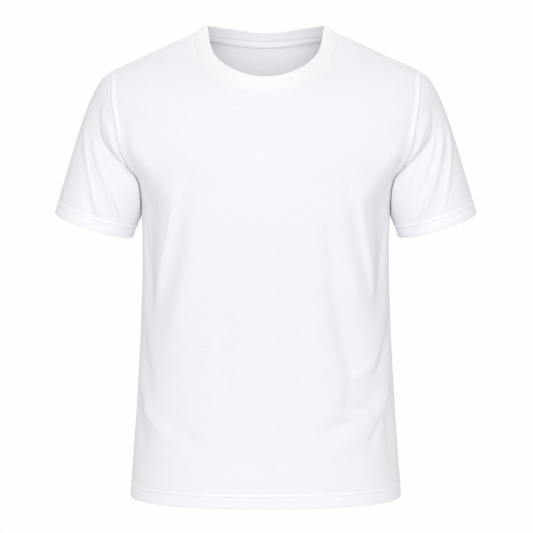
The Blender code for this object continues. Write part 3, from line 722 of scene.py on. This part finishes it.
def white_jersey():
    """Combed single jersey in bleached cotton: matt, faintly streaked along its courses, with a fine knit."""
    surface = {"Roughness": 0.92, "Specular IOR Level": 0.2, "Sheen Weight": 0.06, "Sheen Roughness": 0.6}
    scatter = {"Subsurface Radius": (1, 1, 1), "Subsurface Scale": 3 * MM}
    material, tree, shader = start_material("bleached_cotton_jersey", surface | scatter)
    flat = add_node(tree, "ShaderNodeUVMap", {"uv_map": "flat_cloth"}).outputs["UV"]
    # uneven yarn shows as streaks about 16 mm long and 2.5 mm high along the courses
    course = add_node(tree, "ShaderNodeMapping", {"Scale": (60, 400, 1)}, Vector=flat).outputs["Vector"]
    streaks = add_node(tree, "ShaderNodeTexNoise", {"Scale": 1, "Detail": 3, "Roughness": 0.6}, Vector=course)
    tints = add_node(tree, "ShaderNodeValToRGB", Fac=streaks.outputs["Fac"])
    tints.color_ramp.elements[0].position, tints.color_ramp.elements[1].position = 0.3, 0.7
    tints.color_ramp.elements[0].color = linear("eeecf1")
    tints.color_ramp.elements[1].color = linear("f1eff4")
    # two layers or more let less light through, so hems and seam turnings look whiter
    # at the hem's swelling and along the collar's folded edge that whiteness is partly a painted highlight
    layers = add_node(tree, "ShaderNodeAttribute", {"attribute_name": "turned_cloth_and_highlight"})
    whiter = add_node(tree, "ShaderNodeMix", {"data_type": "RGBA"})
    whiter.inputs[7].default_value = linear("f6f5f9")
    tree.links.new(layers.outputs["Fac"], whiter.inputs[0])
    tree.links.new(tints.outputs["Color"], whiter.inputs[6])
    tree.links.new(whiter.outputs[2], shader.inputs["Base Color"])
    # light passes a little way through the loose knit, and less through two layers
    one_to_two = {"name": "light_through_knit", "To Min": 0.35, "To Max": 0.0}
    through = add_node(tree, "ShaderNodeMapRange", one_to_two, Value=layers.outputs["Fac"])
    tree.links.new(through.outputs["Result"], shader.inputs["Subsurface Weight"])
    # wales stand 0.8 mm apart, about twice the real 0.4 mm, so that they can show at all
    bands = {"wave_type": "BANDS", "bands_direction": "X", "Scale": 400, "Distortion": 0.6, "Detail": 1}
    wales = add_node(tree, "ShaderNodeTexWave", bands, Vector=flat).outputs["Fac"]
    bump = add_node(tree, "ShaderNodeBump", {"Strength": 0.25, "Distance": 0.1 * MM}, Height=wales)
    tree.links.new(bump.outputs["Normal"], shader.inputs["Normal"])
    return material


STITCH_PITCH = 3.2 * MM
STITCH_LENGTH = 2.6 * MM
THREAD_WIDTH = 0.5 * MM
THREAD_HEIGHT = 0.12 * MM  # of a stitch's middle line above the cloth
THREAD_FLATNESS = 0.8


def white_thread():
    """Spun polyester sewing thread: a little glossier than the cotton, its twist showing as fine slants."""
    material, tree, shader = start_material("spun_polyester_thread", {"Roughness": 0.6, "Sheen Weight": 0.1})
    # the twist's turns lie about 0.3 mm apart
    place = add_node(tree, "ShaderNodeTexCoord").outputs["Object"]
    twist = add_node(tree, "ShaderNodeTexWave", {"bands_direction": "DIAGONAL", "Scale": 1250}, Vector=place)
    tints = add_node(tree, "ShaderNodeValToRGB", Fac=twist.outputs["Fac"])
    tints.color_ramp.elements[0].color = linear("efeff2")
    tints.color_ramp.elements[1].color = linear("f7f7f9")
    tree.links.new(tints.outputs["Color"], shader.inputs["Base Color"])
    return material


def one_stitch():
    """Points and faces of a stitch that lies along X, with its ends sunk into the cloth."""
    bpy.ops.object.select_all(action="DESELECT")
    bpy.ops.mesh.primitive_uv_sphere_add(segments=6, ring_count=4, radius=THREAD_WIDTH / 2)
    made = bpy.context.object
    bpy.ops.object.mode_set(mode="EDIT")
    bpy.ops.transform.rotate(value=np.pi / 2, orient_axis="Y", center_override=(0, 0, 0))
    size = (STITCH_LENGTH / THREAD_WIDTH, 1, THREAD_FLATNESS)
    bpy.ops.transform.resize(value=size, center_override=(0, 0, 0))
    bpy.ops.object.mode_set(mode="OBJECT")
    points = np.array([vertex.co for vertex in made.data.vertices])
    points[:, 2] += THREAD_HEIGHT * (1 - 2 * (2 * points[:, 0] / STITCH_LENGTH) ** 2)
    # a new sphere's points and faces come in an order that changes from run to run, so they are sorted
    order = np.lexsort(points.T)
    faces = [np.argsort(order)[list(face.vertices)] for face in made.data.polygons]
    bpy.data.meshes.remove(made.data)
    faces = sorted(np.roll(face, -face.argmin()).tolist() for face in faces)
    return points[order], [np.array(face) for face in faces]


def sew(name, rows, closed=False):
    """Rows of stitches, each along a line of points on the cloth and the points just inside it."""
    stitch, stitch_faces = one_stitch()
    points, faces = [], []
    for outer, inner in rows:
        if closed:
            outer, inner = (np.vstack([line, line[:1]]) for line in (outer, inner))
        way = way_along(outer)
        count = int(way[-1] / STITCH_PITCH)
        middles = (np.arange(count) + 0.5) * way[-1] / count
        ahead, back = (stops_on(outer, way, middles + reach * STITCH_LENGTH / 4) for reach in (1, -1))
        at = stops_on(outer, way, middles)
        along = unit(ahead - back)
        across = unit(np.cross(at - stops_on(inner, way, middles), along))
        up = np.cross(along, across)
        for k in range(count):
            start = len(points) * len(stitch)
            points.append(at[k] + stitch @ np.array([along[k], across[k], up[k]]))
            faces += [(face + start).tolist() for face in stitch_faces]
    mesh = bpy.data.meshes.new(name)
    mesh.from_pydata(np.vstack(points), [], faces)
    mesh.shade_smooth()
    mesh.materials.append(thread)
    made = bpy.data.objects.new(name, mesh)
    bpy.context.collection.objects.link(made)
    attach(made, "root")
    return made


def hem_rows(outer, inner):
    return [(outer[row], inner[row]) for row in (LOWER_ROW, UPPER_ROW)]


jersey, thread = white_jersey(), white_thread()
neck, armhole = neck_seam(NECK_CELLS), armhole_seam()
front_grids = panel(FRONT, neck, armhole, FRONT_FOLDS)
front = cloth_piece("front_cloth", jersey, *front_grids)
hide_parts("front_panel")
front_stitches = sew("front_hem_stitches", hem_rows(*front_grids[:2]))


# Back panel. The same jersey, cut as the front but with a shallow neck. It hangs from the shoulder blades and
# falls in folds of its own, deeper in the hollow of the back.
BACK_FOLDS = rows_of(
    Fold,
    (-118, 244, -136, 352, -168, 490, 24, 9, 0.8, 5, 0.3),
    (-226, 254, -208, 340, -164, 450, 12, 64, 0.2, 11, 0.7),
    (-228, 262, -210, 350, -172, 456, 8, 8, 0.8, 3, 0.4),
    (-84, 330, -78, 430, -50, 560, 20, 14, 1, 3.2, 0.2),
    (-20, 360, -6, 450, 22, 560, 20, 16, 1, 2, 0),
    (52, 300, 66, 420, 60, 560, 12, 20, 1, 3, 0.2),
    (124, 246, 139, 352, 172, 480, 9, 24, 0.8, 5.4, 0.4),
    (226, 252, 206, 346, 162, 446, 66, 12, 0.2, 11, 0.7),
    (230, 266, 207, 356, 166, 452, 8, 8, 0.8, 3.2, 0.4),
    (-218, 466, -164, 560, -74, 598, 14, 11, 1, 3.6, 0.3),
    (214, 476, 156, 572, 56, 606, 12, 15, 1, 4, 0.3),
    (-190, 590, -140, 622, -90, 634, 12, 12, 1, -2, 0),
    (-30, 590, -34, 640, -20, 690, 18, 18, 1, 1.4, 0),
    (90, 570, 96, 630, 88, 690, 16, 16, 1, 1.4, 0),
    (-230, 182, -190, 236, -140, 264, 20, 24, 1, 4.2, 0.4),
    (230, 182, 188, 234, 136, 262, 24, 20, 1, 4.2, 0.4),
    (-120, 60, -60, 84, 0, 90, 18, 18, 1, 1, 0),
    (118, 62, 64, 88, 6, 96, 18, 18, 1, 0.9, 0),
)
back_grids = panel(BACK, neck, armhole, BACK_FOLDS)
back = cloth_piece("back_cloth", jersey, *back_grids)
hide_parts("back_panel")
back_stitches = sew("back_hem_stitches", hem_rows(*back_grids[:2]))


# Sleeves. Each is one piece of the same jersey, closed under the arm, eased into the armhole and turned up at
# the cuff. They are cut as mirror images, and each drags in creases of its own from the armhole outwards.
CUFF_CENTRE = np.array([0.2625, 0.006, -0.2965])
CUFF_HALF_WIDTH = 0.0625
CUFF_HALF_DEPTH = 0.0600
CUFF_LEAN_OUT, CUFF_LEAN_BACK = 17.5, 5.5  # degrees that the cuff's axis leans from straight down
CUFF_SHORTER = 1.5 * MM  # the cuff's turned-up cloth is narrower than the hem's
REST_GAP = 0.7 * MM  # between the sleeve and the body that it rests on, from REST_REACH below the seam
REST_REACH = 12 * MM
REST_SOFTNESS = 2  # of the turn where the sleeve comes to rest, in gaps
SLEEVE_CELLS = 110
SLEEVE_CROWDING = 1.12
SLEEVE_ROUND = 1.10  # millimetres round the sleeve for each degree of turn
SLEEVE_DIP = 0.7 * MM
LEAN_EARLY = 0.6  # exponent: below 1, a sleeve leans in most nearer to the armhole than to the cuff
SLEEVE_FOLDS_OFF_SEAM, SLEEVE_FOLDS_OFF_CUFF, SLEEVE_FOLDS_AT_CUFF = 10 * MM, 35 * MM, 0.3

# A sleeve's folds are placed by the way round from its top and the way down from the armhole, in millimetres.
# Their flanks are those towards the cuff and towards the armhole.
FOLDS_UNDER_ARMHOLE = rows_of(
    Fold,
    (78, 38, 110, 13, 156, 2, 22, 9, 0.8, -4.8, 0.3),
    (104, 52, 132, 41, 156, 38, 8, 6, 1, 2.2, 0),
)
LEFT_SLEEVE_FOLDS = rows_of(
    Fold,
    (72, 62, 100, 80, 128, 101, 10, 9, 0.8, -3.8, 0.4),
    (54, 70, 95, 112, 166, 157, 15, 9, 0.8, -6.4, 0.5),
    (24, 80, 67, 136, 119, 190, 10, 9, 0.8, -4, 0.5),
)
RIGHT_SLEEVE_FOLDS = rows_of(
    Fold,
    (64, 66, 103, 94, 158, 126, 15, 9, 0.8, -6.2, 0.5),
    (66, 54, 96, 66, 128, 66, 9, 9, 1, -2, 0),
    (34, 78, 87, 128, 148, 178, 11, 9, 0.8, -3.6, 0.5),
    (50, 84, 86, 105, 122, 130, 10, 10, 1, -1.8, 0),
)
FOLDS_AT_CUFF_AND_BEHIND = rows_of(
    Fold,
    (76, 144, 90, 155, 112, 166, 9, 8, 1, 2.2, 0),
    (318, 36, 284, 16, 240, 0, 7, 12, 0.8, 4.6, 0.3),
    (328, 58, 284, 44, 222, 14, 7, 13, 0.8, 4.6, 0.4),
    (332, 84, 294, 102, 252, 110, 13, 16, 0.8, 4.8, 0.1),
    (362, 86, 330, 126, 286, 150, 15, 20, 0.8, 4.8, 0.1),
    (300, 60, 276, 72, 250, 70, 10, 10, 1, -1.8, 0),
)


def cuff_points(turns):
    """The cuff's outer edge. Turns run on past 180 degrees up the back."""
    out, back_lean = np.radians(CUFF_LEAN_OUT), np.radians(CUFF_LEAN_BACK)
    axis = unit(np.array([np.sin(out), np.tan(back_lean), -np.cos(out)]))
    outward = np.array([np.cos(out), 0, np.sin(out)])
    forward = np.cross(axis, outward)
    turns = np.radians(turns)[:, None]
    round_edge = CUFF_HALF_WIDTH * np.cos(turns) * outward + CUFF_HALF_DEPTH * np.sin(turns) * forward
    return CUFF_CENTRE + round_edge, axis


def rest_on_body(points, seam_distance):
    """Points of the sleeve, moved out sideways where they would press into the body."""
    drop = -points[..., 2]
    deep = np.where(points[..., 1] < 0, depth(drop, FRONT), depth(drop, BACK))
    share = np.clip(np.abs(points[..., 1]) / deep, 0, 0.999)
    gap = REST_GAP * np.clip(seam_distance / REST_REACH, 0, 1)
    surface = half_width(drop) * (1 - share**OBLONG) ** (1 / OBLONG) + gap
    excess = points[..., 0] - surface
    soft = REST_SOFTNESS * gap
    moved = surface + (excess + np.sqrt(excess**2 + soft**2)) / 2
    return np.stack([moved, points[..., 1], points[..., 2]], axis=-1)


def sleeve(armhole, folds):
    """The wearer's left sleeve as panel gives a panel, in rings from the armhole to the cuff."""
    half = armhole_turns()[::-1]
    turns = np.r_[half, 360 - half[-2:0:-1]]
    folded = np.minimum(turns, 360 - turns)
    cuff, axis = cuff_points(turns)
    seam_pull = read(SLEEVE_LEAVING, "seam_pull", folded)[:, None] * armhole.directions
    cuff_pull = read(SLEEVE_LEAVING, "cuff_pull", folded)[:, None] * axis
    t = np.linspace(0, 1, ARC_STEPS)[:, None, None]
    lines = hermite(armhole.points, seam_pull, cuff, cuff_pull, t)
    lines[..., 0] -= read(SLEEVE_LEAVING, "lean_in", folded) * np.sin(np.pi * t[..., 0] ** LEAN_EARLY) ** 2
    lines = rest_on_body(lines, np.linalg.norm(lines - lines[:1], axis=-1))

    steps = np.linalg.norm(np.diff(lines, axis=0), axis=-1)
    lengths = np.vstack([np.zeros(len(turns)), np.cumsum(steps, axis=0)])
    shares = np.linspace(0, 1, SLEEVE_CELLS + 1)
    shares = np.r_[0, shares[1] * EDGE_SHARES[::-1], shares[1:]] ** SLEEVE_CROWDING
    cuff_rows = HEM_ROUND[::-1]
    columns, downs = [], []
    for k, length in enumerate(lengths[-1]):
        stops = np.r_[shares[:-1] * (length - cuff_rows[0]), length - cuff_rows]
        columns.append(stops_on(lines[:, k], lengths[:, k], stops))
        downs.append(stops)
    form, down = np.stack(columns, axis=1), np.stack(downs, axis=1)
    from_edge = lengths[-1] - down
    normals = -grid_normals(form, True)
    normals *= np.sign(np.sum(normals[-1] * (form[-1] - CUFF_CENTRE)))
    places = np.stack([SLEEVE_ROUND * MM * turns + 0 * down, down], axis=-1)
    clear = fade(down, SLEEVE_FOLDS_OFF_SEAM)
    clear *= SLEEVE_FOLDS_AT_CUFF + (1 - SLEEVE_FOLDS_AT_CUFF) * fade(from_edge, SLEEVE_FOLDS_OFF_CUFF)
    sunk = sum(fold_depth(fold, places) for fold in folds) * clear
    cloth = form - normals * sunk[..., None]
    cloth_normals = grid_normals(cloth, True)
    cloth_normals *= np.sign(np.sum(cloth_normals * normals))
    wall = -cloth_normals
    wall[0] = armhole.wall
    relief = twin_stitch_relief(from_edge + CUFF_SHORTER) - seam_roll(down, SLEEVE_DIP)
    outer, inner = hem_walls(cloth, cloth_normals, wall, from_edge, HEM_WIDTH - CUFF_SHORTER, relief)
    return outer, inner, places, hem_layers_and_highlight(from_edge + CUFF_SHORTER)


for name, node, facing, own_folds in (
    ("left_sleeve_cloth", "sleeve_left", 1, LEFT_SLEEVE_FOLDS),
    ("right_sleeve_cloth", "sleeve_right", -1, RIGHT_SLEEVE_FOLDS),
):
    all_folds = FOLDS_UNDER_ARMHOLE + own_folds + FOLDS_AT_CUFF_AND_BEHIND
    outer, inner, places, layers = sleeve(armhole, all_folds)
    outer, inner = outer * [facing, 1, 1], inner * [facing, 1, 1]
    sleeve_cloth = cloth_piece(name, jersey, outer, inner, places, layers, True)
    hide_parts(node)
    rows = hem_rows(outer[::-1], inner[::-1])
    cuff_stitches = sew(name.replace("cloth", "cuff_stitches"), rows, closed=True)


# Collar. A band of cotton rib, knitted one plain and one purl, folded double and sewn round the neck seam a
# little stretched, so that it draws in and lies close to the neck.
RIB_WALL = 2.4 * MM
RIB_PITCH = 1.5 * MM  # about a third wider than the real rib, so that it shows
RIB_RELIEF = 0.12 * MM
RIB_BULGE = 0.8 * MM
COLUMNS_A_RIB = 4
RibRow = namedtuple("RibRow", "rise outer inner turned")  # shares of the band's width and of its wall
# turned whitens the rib: near the seam for its turnings, and at the folded edge as a painted highlight
RIB_ROWS = rows_of(
    RibRow,
    (0, 0, 1, 0.6),
    (0.03, 0, 1, 0.5),
    (0.08, 0, 1, 0.3),
    *((rise, 0, 1, 0) for rise in (0.2, 0.35, 0.5, 0.65, 0.78)),
    (0.88, 0.01, 0.99, 0),
    (0.94, 0.05, 0.95, 0.8),
    (0.98, 0.17, 0.83, 1),
    (1, 0.38, 0.62, 1),
)
COLLAR_CELLS = 200


def collar_grids():
    """The rib band as panel gives a panel, in rings from the neck seam to the folded edge."""
    seam = neck_seam(COLLAR_CELLS)
    normals = unit(np.cross(seam.directions, seam.ahead)) * seam.turned
    way = way_along(np.vstack([seam.points, seam.points[:1]]))
    length = way[-1]
    count = round(length / RIB_PITCH) * COLUMNS_A_RIB
    edge, directions, outward, wall = (
        stops_on(np.vstack([values, values[:1]]), way, np.linspace(0, length, count, endpoint=False))
        for values in (seam.points, seam.directions, normals, seam.wall)
    )
    directions, outward = unit(directions), unit(outward)
    relief = RIB_RELIEF * np.cos(2 * np.pi * np.arange(count) / COLUMNS_A_RIB)[:, None]
    way_round = np.linspace(0, length, count)
    outer, inner, places = [], [], []
    for row in RIB_ROWS:
        line = edge + directions * RIB_WIDTH * row.rise + outward * RIB_BULGE * np.sin(np.pi * row.rise)
        inward = wall if row.rise == 0 else -outward
        outer.append(line + inward * RIB_WALL * row.outer + outward * relief)
        inner.append(line + inward * RIB_WALL * row.inner - outward * relief)
        places.append(np.stack([way_round, np.full(count, RIB_WIDTH * row.rise)], axis=-1))
    return np.array(outer), np.array(inner), np.array(places), np.array([[row.turned] for row in RIB_ROWS])


def white_rib():
    """Bleached cotton rib: the jersey's own yarn, a little brighter as it is knitted tight and double."""
    material = jersey.copy()
    material.name = "bleached_cotton_rib"
    for node in material.node_tree.nodes:
        if node.type == "VALTORGB":
            node.color_ramp.elements[0].color = linear("f3f2f6")
            node.color_ramp.elements[1].color = linear("f2f1f5")
    material.node_tree.nodes["light_through_knit"].inputs["To Min"].default_value = 0.8
    material.node_tree.nodes["Principled BSDF"].inputs["Subsurface Scale"].default_value = 5 * MM
    return material


collar = cloth_piece("rib_collar", white_rib(), *collar_grids(), True)
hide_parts("collar")


# Neck tape. A narrow strip of jersey sewn over the seam inside the back neck, from shoulder to shoulder. It
# swells over the seam's turnings, and a row of stitches sinks into it just above its lower edge.
TAPE_WALL = 0.9 * MM
TAPE_GAP = 0.3 * MM
TAPE_SWELL = 1.5 * MM
TAPE_LAID_SWELL = 0.8  # of that swell, on the face that lies on the seam
TAPE_REACHES = MM * np.array(  # of the tape's rows below the neck seam, from its lower edge up
    [11.4, 11.2, 10.9, 10.4, 9.9, 9.5, 9.1, 8.6, 7.8, 6.6, 5.4, 4.2, 3.0, 2.0, 1.2, 0.6, 0.1]
)
TAPE_STITCH_REACH = 9.5 * MM
TAPE_STITCH_DEPTH, TAPE_STITCH_WIDTH = 0.5 * MM, 0.5 * MM
TAPE_EDGE_ROUND = 0.35 * MM
TAPE_SQUARENESS = 12  # exponent of how the tape keeps its full height almost to its edges
BELOW_SEAM = 9  # rows of the back panel from its top, between which the tape finds the way down


def tape_grids(back_inner):
    """The tape as panel gives a panel, in rows from its lower edge up the back panel's inner face."""
    middle = len(column_shares()) - 1
    columns = slice(middle - NECK_CELLS + 2, middle + NECK_CELLS - 1)
    top, below = back_inner[-1, columns], back_inner[-BELOW_SEAM, columns]
    down = unit(below - top)
    inward = unit(np.cross(down, np.gradient(top, axis=0)))
    proud, laid = [], []
    for reach in TAPE_REACHES:
        share = reach / TAPE_REACHES[0]
        swell = TAPE_SWELL * share * (1 - share**TAPE_SQUARENESS)
        stitch = TAPE_STITCH_DEPTH * band(reach, TAPE_STITCH_REACH, TAPE_STITCH_WIDTH)
        edge_round = TAPE_EDGE_ROUND * np.abs(2 * share - 1) ** TAPE_SQUARENESS
        line = top + down * reach + inward * TAPE_GAP
        proud.append(line + inward * (TAPE_WALL + swell - stitch - edge_round))
        laid.append(line + inward * TAPE_LAID_SWELL * swell)
    places = np.stack(np.meshgrid(way_along(top), TAPE_REACHES), axis=-1)
    return np.array(proud), np.array(laid), places, 1


tape_jersey = jersey.copy()
tape_jersey.name = "bleached_cotton_tape"
tape_rows = tape_grids(back_grids[1])
tape = cloth_piece("neck_tape_cloth", tape_jersey, *tape_rows)
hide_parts("neck_tape")
stitched = len(TAPE_REACHES[TAPE_REACHES > TAPE_STITCH_REACH])
tape_stitches = sew("tape_stitches", [(tape_rows[0][stitched], tape_rows[1][stitched])])
